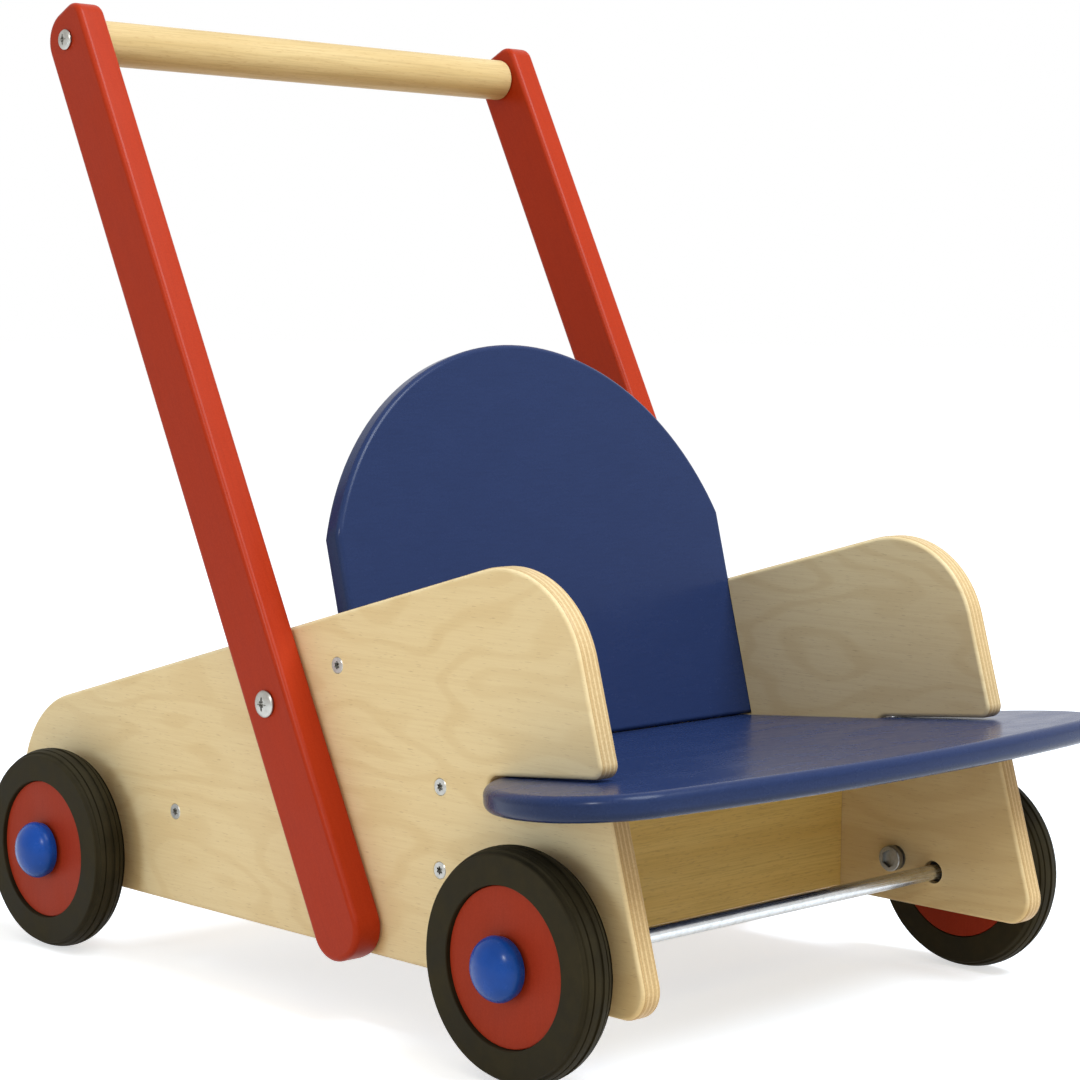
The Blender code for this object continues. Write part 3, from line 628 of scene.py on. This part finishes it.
def back_foot(depth):
    """Height of the backrest's foot, which is sawn parallel to the seat, at a depth in the board."""
    tilt = BACK_LEAN - SEAT_TILT
    return (FIT_GAP + depth * math.sin(tilt)) / math.cos(tilt)


def back_outline(depth):
    """Straight sides under one arc."""
    half, foot = INSIDE + BACK_HOUSING, back_foot(depth)
    size = (half**2 + BACK_ARC_RISE**2) / (2 * BACK_ARC_RISE)
    centre = BACK_HEIGHT - size
    start = math.atan2(BACK_HEIGHT - BACK_ARC_RISE - centre, half)
    return [(-half, foot), (half, foot)] + arc((0, centre), size, start, math.pi - start)


def housing(side):
    """The cut in a panel's inner face that takes an end of the backrest, open at the panel's top edge."""
    near, far = side * (INSIDE - PAST), side * (INSIDE + BACK_HOUSING + FIT_GAP)
    front, rear = [
        [(near, foot), (far, foot), (far, BACK_HEIGHT), (near, BACK_HEIGHT)]
        for foot in (back_foot(-FIT_GAP) - FIT_GAP, back_foot(BACK_THICK + FIT_GAP) - FIT_GAP)
    ]
    return slab(front, -BACK_THICK - FIT_GAP, FIT_GAP, low_outline=rear)


PANEL_SCREWS = ("backrest_screw_", "seat_screw_", "front_board_screw_", "rear_board_screw_")
PANEL_BORES = {
    "axle_bush_front_": BUSH_BORE_R,
    "axle_bush_rear_": BUSH_BORE_R,
    "brake_insert_": INSERT_BORE_R,
    "arm_nut_": ARM_NUT_BORE_R,
}
PANEL_GRAIN_SHIFTS = {"right": (0.31, 0.17, 0.0), "left": (2.63, 1.41, 0.5)}
BOARD_GRAIN_SHIFTS = {"front": (0.4, 0.1, 0.2), "rear": (1.9, 0.7, 0.3)}
BAR_GRAIN_SHIFT = (0.2, 0.9, 0.6)


def make_panels():
    for name, side in SIDES:
        frame_of = at(side * (HALF - PANEL_THICK / 2), 0, 0) @ SIDE_VIEW
        face = side * HALF
        cuts = [
            moved(countersink(PANEL_THICK + PAST), at(face, *middle(screw + name).yz) @ out_of(side))
            for screw in PANEL_SCREWS
        ]
        cuts += [
            moved(bore(size, -PANEL_THICK - PAST, PAST), at(face, *middle(node + name).yz) @ out_of(side))
            for node, size in PANEL_BORES.items()
        ]
        cuts.append(moved(housing(side), back_frame()))
        board = slab(panel_outline(), -PANEL_THICK / 2, PANEL_THICK / 2, PANEL_EDGE_R)
        cutter = moved(together(cuts), frame_of.inverted())
        shape = carved(board, cutter)
        birch = birch_plywood("birch_" + name, PANEL_GRAIN_SHIFTS[name])
        dress("side_panel_" + name, shape, birch, frame_of)


def seat_outline():
    """The seat from above, its rear end between the panels and an ear out through each notch."""
    front, rear, root = ear_places()
    end = SEAT_FRONT + SEAT_DEPTH + BACK_THICK / math.cos(BACK_LEAN - SEAT_TILT) + SEAT_TAIL
    out_front = SEAT_WIDTH / 2 - EAR_FRONT_R
    out_rear = SEAT_WIDTH / 2 - EAR_REAR_R
    start = math.asin((root - rear) / EAR_REAR_R)
    centre = SEAT_FRONT + SEAT_FRONT_ARC_R
    meet = math.atan2(front - centre, out_front)
    half = [(INSIDE, end)]
    half += arc((out_rear, rear), EAR_REAR_R, start, 0)
    half += arc((out_front, front), EAR_FRONT_R, 0, meet)[1:]
    half += arc((0, centre), SEAT_FRONT_ARC_R, meet, -math.pi / 2)[1:]
    return half + [(-x, y) for x, y in reversed(half[:-1])]


def make_seat(blue):
    dress("seat_board", slab(seat_outline(), -SEAT_THICK, 0, SEAT_EDGE_R), blue, SEAT_FRAME)


def make_backrest(blue):
    rear = back_outline(BACK_THICK)
    shape = slab(back_outline(0), -BACK_THICK, 0, BACK_EDGE_R, low_outline=rear)
    dress("backrest", shape, blue, back_frame())


def make_cross_boards():
    """The board under the seat and the one between the panels' rear ends, each eased along its edges."""
    low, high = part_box("front_cross_board")
    drop = (high.y - low.y) * math.tan(SEAT_TILT)
    apron = [(low.y, low.z), (high.y, low.z), (high.y, high.z - drop), (low.y, high.z)]
    low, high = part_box("rear_cross_board")
    rear = [(low.y, low.z), (high.y, low.z), (high.y, high.z), (low.y, high.z)]
    for name, section in (("front", apron), ("rear", rear)):
        shape = slab(rounded([(corner, BOARD_EDGE_R) for corner in section]), -INSIDE, INSIDE)
        # the boards' beech colours hold painted warm shade: yellower and deeper than the bar's
        wood = beech("beech_" + name, "Z", BOARD_GRAIN_SHIFTS[name], *BOARD_BEECH_PAINTED_SHADE)
        dress(name + "_cross_board", shape, wood, SIDE_VIEW)


def make_handle(red):
    """Two arms with eased edges, and the grip bar between them."""
    grip = middle("handle_bar")
    for name, side in SIDES:
        bolt = middle("arm_bolt_" + name)
        reach = math.hypot(grip.y - bolt.y, grip.z - bolt.z)
        half, top = ARM_WIDTH / 2, reach + ARM_TOP
        outline = rounded(
            [
                ((-half, -ARM_FOOT), ARM_FOOT_R),
                ((half, -ARM_FOOT), ARM_FOOT_R),
                ((half, top), ARM_TOP_REAR_R),
                ((-half, top), ARM_TOP_FRONT_R),
            ]
        )
        place = at(side * (HALF + FIT_GAP + ARM_THICK / 2), bolt.y, bolt.z) @ SIDE_VIEW
        shape = slab(outline, -ARM_THICK / 2, ARM_THICK / 2, ARM_EDGE_R)
        dress("handle_arm_" + name, shape, red, place @ Matrix.Rotation(-ARM_LEAN, 4, "Z"))
    size, half = radius("handle_bar"), length_x("handle_bar") / 2
    profile = [(0, half), (size - GRIP_EASE, half), (size, half - GRIP_EASE)]
    profile += [(r, -z) for r, z in reversed(profile)]
    wood = beech("beech_bar", "Z", BAR_GRAIN_SHIFT, *BAR_BEECH)
    dress("handle_bar", turned(profile), wood, at(*grip) @ out_of(1))


# Wheels and axles

def tyre_profile(size, width):
    """Flat side walls and a crowned, grooved tread. One more groove, inside, takes the hub's rib."""
    half, rib = width / 2, RIM_RIB_WIDTH / 2 + FIT_GAP
    inner = RIM_R + FIT_GAP
    keyed = inner + RIM_RIB_HEIGHT
    crown_r = (half**2 + TYRE_CROWN**2) / (2 * TYRE_CROWN)

    def tread(z, sunk=0.0):
        return size - crown_r + math.sqrt(crown_r**2 - z**2) - sunk, z

    points = [(inner + TYRE_EASE, -half), (inner, TYRE_EASE - half), (inner, -rib), (keyed, -rib)]
    points += [(keyed, rib), (inner, rib), (inner, half - TYRE_EASE), (inner + TYRE_EASE, half)]
    shoulder, drop = size - TYRE_CROWN, TYRE_EASE / 3
    points += [(shoulder - TYRE_EASE, half), (shoulder, half - drop)]
    last = half - TYRE_EASE
    for z, wide in TREAD_GROOVES:
        edge, floor = wide / 2, wide / 2 - TREAD_GROOVE_SLOPE
        points += [tread(last + (z + edge - last) * i / TREAD_STEPS) for i in range(TREAD_STEPS + 1)]
        points += [tread(z + floor, TREAD_GROOVE_DEPTH), tread(z - floor, TREAD_GROOVE_DEPTH)]
        last = z - edge
    end = TYRE_EASE - half
    points += [tread(last + (end - last) * i / TREAD_STEPS) for i in range(TREAD_STEPS + 1)]
    return points + [(shoulder, drop - half), (shoulder - TYRE_EASE, -half)]


def hub_profile(low, high):
    """A disc from low to high with a rib round it and a low boss outside."""
    rib, ease = RIM_RIB_WIDTH / 2, RIM_CHAMFER
    hole = radius("front_axle") + CLOSE_FIT
    ridge, face = RIM_R + RIM_RIB_HEIGHT, high + HUB_BOSS
    profile = [(hole, low), (RIM_R - ease, low), (RIM_R, low + ease), (RIM_R, -rib), (ridge, -rib)]
    profile += [(ridge, rib), (RIM_R, rib), (RIM_R, high - ease), (RIM_R - ease, high)]
    return profile + [(HUB_BOSS_R, high), (HUB_BOSS_R, face), (hole, face)]


def cap_profile(size, height):
    """A dome over a short rim, hollow where the axle ends in it: z = 0 is its seat."""
    socket = radius("front_axle") + FIT_GAP
    top = height - CAP_RIM
    steps = ROUND_STEPS // 4
    angles = [math.pi / 2 * i / steps for i in range(steps)]
    dome = [(size * math.cos(a), CAP_RIM + top * math.sin(a)) for a in angles]
    profile = [(0, height)] + dome[::-1] + [(size - CAP_RIM / 4, 0), (socket, 0)]
    return profile + [(socket, CAP_GRIP + FIT_GAP), (0, CAP_GRIP + FIT_GAP)]


def make_wheels(red, black, blue, nylon, steel):
    for end in ("front", "rear"):
        axle = end + "_axle"
        size, half = radius(axle), length_x(axle) / 2
        rod = [(0, half), (size - AXLE_EASE, half), (size, half - AXLE_EASE)]
        rod += [(r, -z) for r, z in reversed(rod)]
        dress(axle, turned(rod), steel, at(*middle(axle)) @ out_of(1))
        for name, side in SIDES:
            label = end + "_" + name
            tyre, cap = "tyre_" + label, "hub_cap_" + label
            hub = "wheel_hub_" + label
            place = at(*middle(tyre)) @ out_of(side)
            shape = turned(tyre_profile(radius(tyre), length_x(tyre)), TYRE_STEPS, ring=True)
            dress(tyre, shape, black, place)
            low = -length_x(tyre) / 2
            shape = turned(hub_profile(low, low + length_x(hub) - HUB_BOSS), TYRE_STEPS, ring=True)
            dress(hub, shape, red, place)
            height = length_x(cap)
            shape = turned(cap_profile(radius(cap), height))
            dress(cap, shape, blue, facing(cap, side) @ at(0, 0, -height))
            make_bush(label, side, size + FIT_GAP, nylon)


def make_bush(label, side, hole, nylon):
    """The flanged bush in the panel, and the spacer between it and the wheel."""
    bush, spacer = "axle_bush_" + label, "wheel_spacer_" + label
    flange, sleeve = radius(bush), BUSH_BORE_R - FIT_GAP
    low, ease = -length_x(bush), BUSH_EASE
    profile = [(hole, 0), (hole, low), (sleeve - ease, low), (sleeve, low + ease)]
    profile += [(sleeve, -BUSH_FLANGE), (flange, -BUSH_FLANGE), (flange, -ease), (flange - ease, 0)]
    dress(bush, turned(profile, SCREW_STEPS, ring=True), nylon, facing(bush, side))
    low, size = -length_x(spacer), radius(spacer)
    profile = [(hole, 0), (hole, low), (size - ease, low), (size, low + ease)]
    profile += [(size, -ease), (size - ease, 0)]
    dress(spacer, turned(profile, SCREW_STEPS, ring=True), nylon, facing(spacer, side))


# Fasteners

def star(count, long, short, width, valley):
    """Outline of a screw's recess with lobes of two lengths in turn."""
    points = []
    step = 2 * math.pi / count
    for i in range(count):
        reach = short if i % 2 else long
        along = Vector((math.cos(i * step), math.sin(i * step)))
        across = Vector((-along.y, along.x)) * width / 2
        points += [tuple(along * reach - across), tuple(along * reach + across)]
        between = (i + 0.5) * step
        points.append((valley * math.cos(between), valley * math.sin(between)))
    return points


def recess(outline, top, depth):
    """The cutter of a recess that narrows downward from top."""
    floor = [(RECESS_TAPER * x, RECESS_TAPER * y) for x, y in outline]
    return slab(outline, top - depth, top + PAST / 4, low_outline=floor)


def wood_screw(length):
    """A countersunk screw with a six-lobed recess: z = 0 is the flat of its head, and it points down."""
    ease, size, head_r = WOOD_SCREW_EASE, WOOD_SCREW_R, WOOD_SCREW_HEAD_R
    profile = [(0, 0), (head_r - ease, 0), (head_r, -ease), (size, -WOOD_SCREW_HEAD)]
    profile += [(size, 2 * size - length), (0, -length)]
    outline = star(STAR_LOBES, STAR_REACH, STAR_REACH, STAR_LOBE_WIDTH, STAR_VALLEY)
    return carved(turned(profile, SCREW_STEPS), recess(outline, 0, STAR_DEPTH))


def pan_screw(size, head_r, head, length):
    """A domed screw with a crossed recess: z = 0 is the underside of its head, and it points down."""
    angles = [math.pi / 2 * i / PAN_STEPS for i in range(PAN_STEPS)]
    rim = head * PAN_RIM
    dome = [(head_r * math.cos(a) ** PAN_DOME_POWER, rim + (head - rim) * math.sin(a)) for a in angles]
    profile = [(0, head)] + dome[::-1] + [(head_r * PAN_UNDERSIDE, 0)]
    profile += [(size, 0), (size, size - length), (0, -length)]
    shares = (CROSS_LONG, CROSS_SHORT, CROSS_LOBE_WIDTH, CROSS_VALLEY)
    outline = star(CROSS_LOBES, *[share * head_r for share in shares])
    return carved(turned(profile, SCREW_STEPS), recess(outline, head, CROSS_DEPTH * head))


def make_screws(zinc):
    pans = (("handle_bar_screw_", GRIP_SCREW_R, GRIP_SCREW_HEAD), ("arm_bolt_", ARM_BOLT_R, ARM_BOLT_HEAD))
    for name, side in SIDES:
        for screw in PANEL_SCREWS:
            node = screw + name
            dress(node, wood_screw(length_x(node)), zinc, facing(node, side))
        for label, size, head in pans:
            node = label + name
            shape = pan_screw(size, radius(node), head, length_x(node) - head)
            dress(node, shape, zinc, facing(node, side) @ at(0, 0, -head))
        node, head = "arm_foot_screw_" + name, FOOT_SCREW_HEAD
        shape = pan_screw(WOOD_SCREW_R, radius(node), head, length_x(node) - head)
        dress(node, shape, zinc, facing(node, -side) @ at(0, 0, -head))


def make_brakes(dull, nylon):
    """Socket screws in flanged inserts, and the pads on the screws' outer ends."""
    turns = [math.pi / 3 * i for i in range(6)]
    socket = [(BRAKE_SOCKET_R * math.cos(a), BRAKE_SOCKET_R * math.sin(a)) for a in turns]
    for name, side in SIDES:
        node = "brake_screw_" + name
        length, head_r = length_x(node), radius(node)
        head, size, ease = BRAKE_HEAD, BRAKE_SCREW_R, BRAKE_EASE
        profile = [(0, 0), (head_r - ease, 0), (head_r, -ease), (head_r, -head), (size, -head)]
        profile += [(size, ease - length), (size - ease, -length), (0, -length)]
        shape = carved(turned(profile), slab(socket, -BRAKE_SOCKET_DEPTH, PAST))
        dress(node, shape, dull, facing(node, -side))
        node = "brake_pad_" + name
        length, size = length_x(node), radius(node)
        hole, floor = BRAKE_SCREW_R + CLOSE_FIT, BRAKE_TIP + FIT_GAP - length
        profile = [(0, 0), (size - ease, 0), (size, -ease), (size, -length)]
        profile += [(hole, -length), (hole, floor), (0, floor)]
        dress(node, turned(profile), nylon, facing(node, side))


def keep_nodes(zinc, dull):
    """CAD nodes that stay as they are, with a finished surface."""
    for name, _ in SIDES:
        for label, material in (("arm_nut_", zinc), ("seat_back_screw_", zinc), ("brake_insert_", dull)):
            mesh = frame["nodes"][label + name].data
            mesh.materials.clear()
            mesh.materials.append(material)


# Studio

WHITE = (1.0, 1.0, 1.0, 1.0)
FLOOR_SIZE = 30.0
FLOOR_TINT = (0.70, 0.57, 0.40, 1.0)  # of the light that it throws back at the walker
FLOOR_SHOWN = (0.82, 0.88, 0.98, 1.0)
FLOOR_GLOW = 0.60
SKY_TINT = (1.0, 0.93, 0.82, 1.0)
SKY_STRENGTH = 0.50
LAMP_AIM = Vector((0.0, 0.0, 0.2))
LAMPS = (  # name, place, size, watts, colour, whether it lights surfaces, whether they mirror it
    ("side", (-2.35, 0.32, 0.50), 0.9, 12.5, (0.72, 0.87, 1.0), True, False),
    ("fill", (-1.0, -1.9, 1.9), 1.2, 9.0, (1.0, 0.84, 0.52), True, False),
    ("glint", (-1.9, -1.0, 1.5), 0.18, 20.0, (1.0, 1.0, 1.0), False, True),
    ("front", (0.3, -1.5, 2.6), 1.6, 95.0, (0.86, 0.94, 1.0), True, True),
)
CAMERA_PLACE = Vector((-0.9979, -1.0263, 0.3455))
CAMERA_TURN = math.radians(-44.299)
CAMERA_PITCH = math.radians(4.681)
CAMERA_ROLL = math.radians(0.488)
CAMERA_LENS = 89.625  # mm
CAMERA_SENSOR = 36.0  # mm
CAMERA_CLIP = 0.01


def make_floor():
    """A pale floor that shows white to the camera and keeps the walker's shadow."""
    shape = bmesh.new()
    bmesh.ops.create_grid(shape, x_segments=1, y_segments=1, size=FLOOR_SIZE)
    floor = thing("floor", shape)
    floor.location.z = -FIT_GAP
    material = bpy.data.materials.new("floor")
    material.use_nodes = True
    tree = material.node_tree
    tree.nodes.clear()
    plain = add(tree, "BsdfDiffuse", {"Color": FLOOR_TINT})
    lit = add(tree, "BsdfDiffuse", {"Color": FLOOR_SHOWN})
    glow = add(tree, "Emission", {"Color": WHITE, "Strength": FLOOR_GLOW})
    seen = add(tree, "AddShader")
    put(tree, seen.inputs[0], lit.outputs[0])
    put(tree, seen.inputs[1], glow.outputs[0])
    choose = add(tree, "MixShader", {"Fac": seen_rays(tree)})
    put(tree, choose.inputs[1], plain.outputs[0])
    put(tree, choose.inputs[2], seen.outputs[0])
    out = add(tree, "OutputMaterial")
    put(tree, out.inputs["Surface"], choose.outputs[0])
    floor.data.materials.append(material)


def seen_rays(tree):
    """1 for rays that see the background: from the camera, in a reflection, or through glass."""
    path = add(tree, "LightPath").outputs
    mirrored = calc(tree, "MAXIMUM", path["Is Glossy Ray"], path["Is Transmission Ray"])
    return calc(tree, "MAXIMUM", path["Is Camera Ray"], mirrored)


def make_world():
    world = bpy.data.worlds.new("studio")
    bpy.context.scene.world = world
    world.use_nodes = True
    tree = world.node_tree
    tree.nodes.clear()
    soft = add(tree, "Background", {"Color": SKY_TINT, "Strength": SKY_STRENGTH})
    shown = add(tree, "Background", {"Color": WHITE, "Strength": 1.0})
    choose = add(tree, "MixShader", {"Fac": seen_rays(tree)})
    put(tree, choose.inputs[1], soft.outputs[0])
    put(tree, choose.inputs[2], shown.outputs[0])
    out = add(tree, "OutputWorld")
    put(tree, out.inputs["Surface"], choose.outputs[0])


def make_lamp(name, place, size, power, colour, lights, mirrored):
    data = bpy.data.lights.new(name, "AREA")
    data.shape = "DISK"
    data.size = size
    data.energy = power
    data.color = colour
    lamp = bpy.data.objects.new(name, data)
    bpy.context.scene.collection.objects.link(lamp)
    lamp.location = place
    lamp.rotation_euler = (LAMP_AIM - Vector(place)).to_track_quat("-Z", "Y").to_euler()
    lamp.visible_camera = False
    lamp.visible_diffuse = lights
    lamp.visible_glossy = mirrored


def make_camera():
    """The photograph's viewpoint, looking down by the pitch and rolled a little."""
    level = math.cos(CAMERA_PITCH)
    aside, onward = -math.sin(CAMERA_TURN) * level, math.cos(CAMERA_TURN) * level
    ahead = Vector((aside, onward, -math.sin(CAMERA_PITCH)))
    right = ahead.cross(Vector((0, 0, 1))).normalized()
    axes = Matrix((right, right.cross(ahead), -ahead)).transposed().to_4x4()
    data = bpy.data.cameras.new("camera")
    data.sensor_width = CAMERA_SENSOR
    data.lens = CAMERA_LENS
    data.clip_start = CAMERA_CLIP
    camera = bpy.data.objects.new("camera", data)
    bpy.context.scene.collection.objects.link(camera)
    camera.matrix_world = at(*CAMERA_PLACE) @ axes @ Matrix.Rotation(CAMERA_ROLL, 4, "Z")
    bpy.context.scene.camera = camera


def make_walker():
    blue = paint("blue_paint", "X", *SEAT_BLUE, roughness=0.25, gloss=0.13, relief=0.08)
    red = paint("red_paint", "Y", *ARM_RED, roughness=0.36, gloss=0.13, relief=0.15)
    wheel_red = paint("wheel_red_paint", "X", *WHEEL_RED, roughness=0.50, gloss=0.14, relief=0.15)
    black = rubber("tyre_rubber")
    cap_blue = moulded("cap_plastic", *CAP_BLUE, roughness=0.24, gloss=0.18)
    nylon = moulded("dark_nylon", *DARK_NYLON, roughness=0.50, gloss=0.25)
    steel = metal("axle_steel", *AXLE_STEEL, stretch=20.0, roughness=0.26)
    zinc = metal("zinc_steel", *ZINC, stretch=900.0, roughness=0.36)
    dull = metal("dull_zinc", *DULL_ZINC, stretch=900.0, roughness=0.42)

    make_panels()
    make_seat(blue)
    make_backrest(blue)
    make_cross_boards()
    make_handle(red)
    make_wheels(wheel_red, black, cap_blue, nylon, steel)
    make_screws(zinc)
    make_brakes(dull, nylon)
    keep_nodes(zinc, dull)


make_walker()
make_floor()
make_world()
for lamp in LAMPS:
    make_lamp(*lamp)
make_camera()
bpy.context.scene.view_settings.view_transform = "Standard"
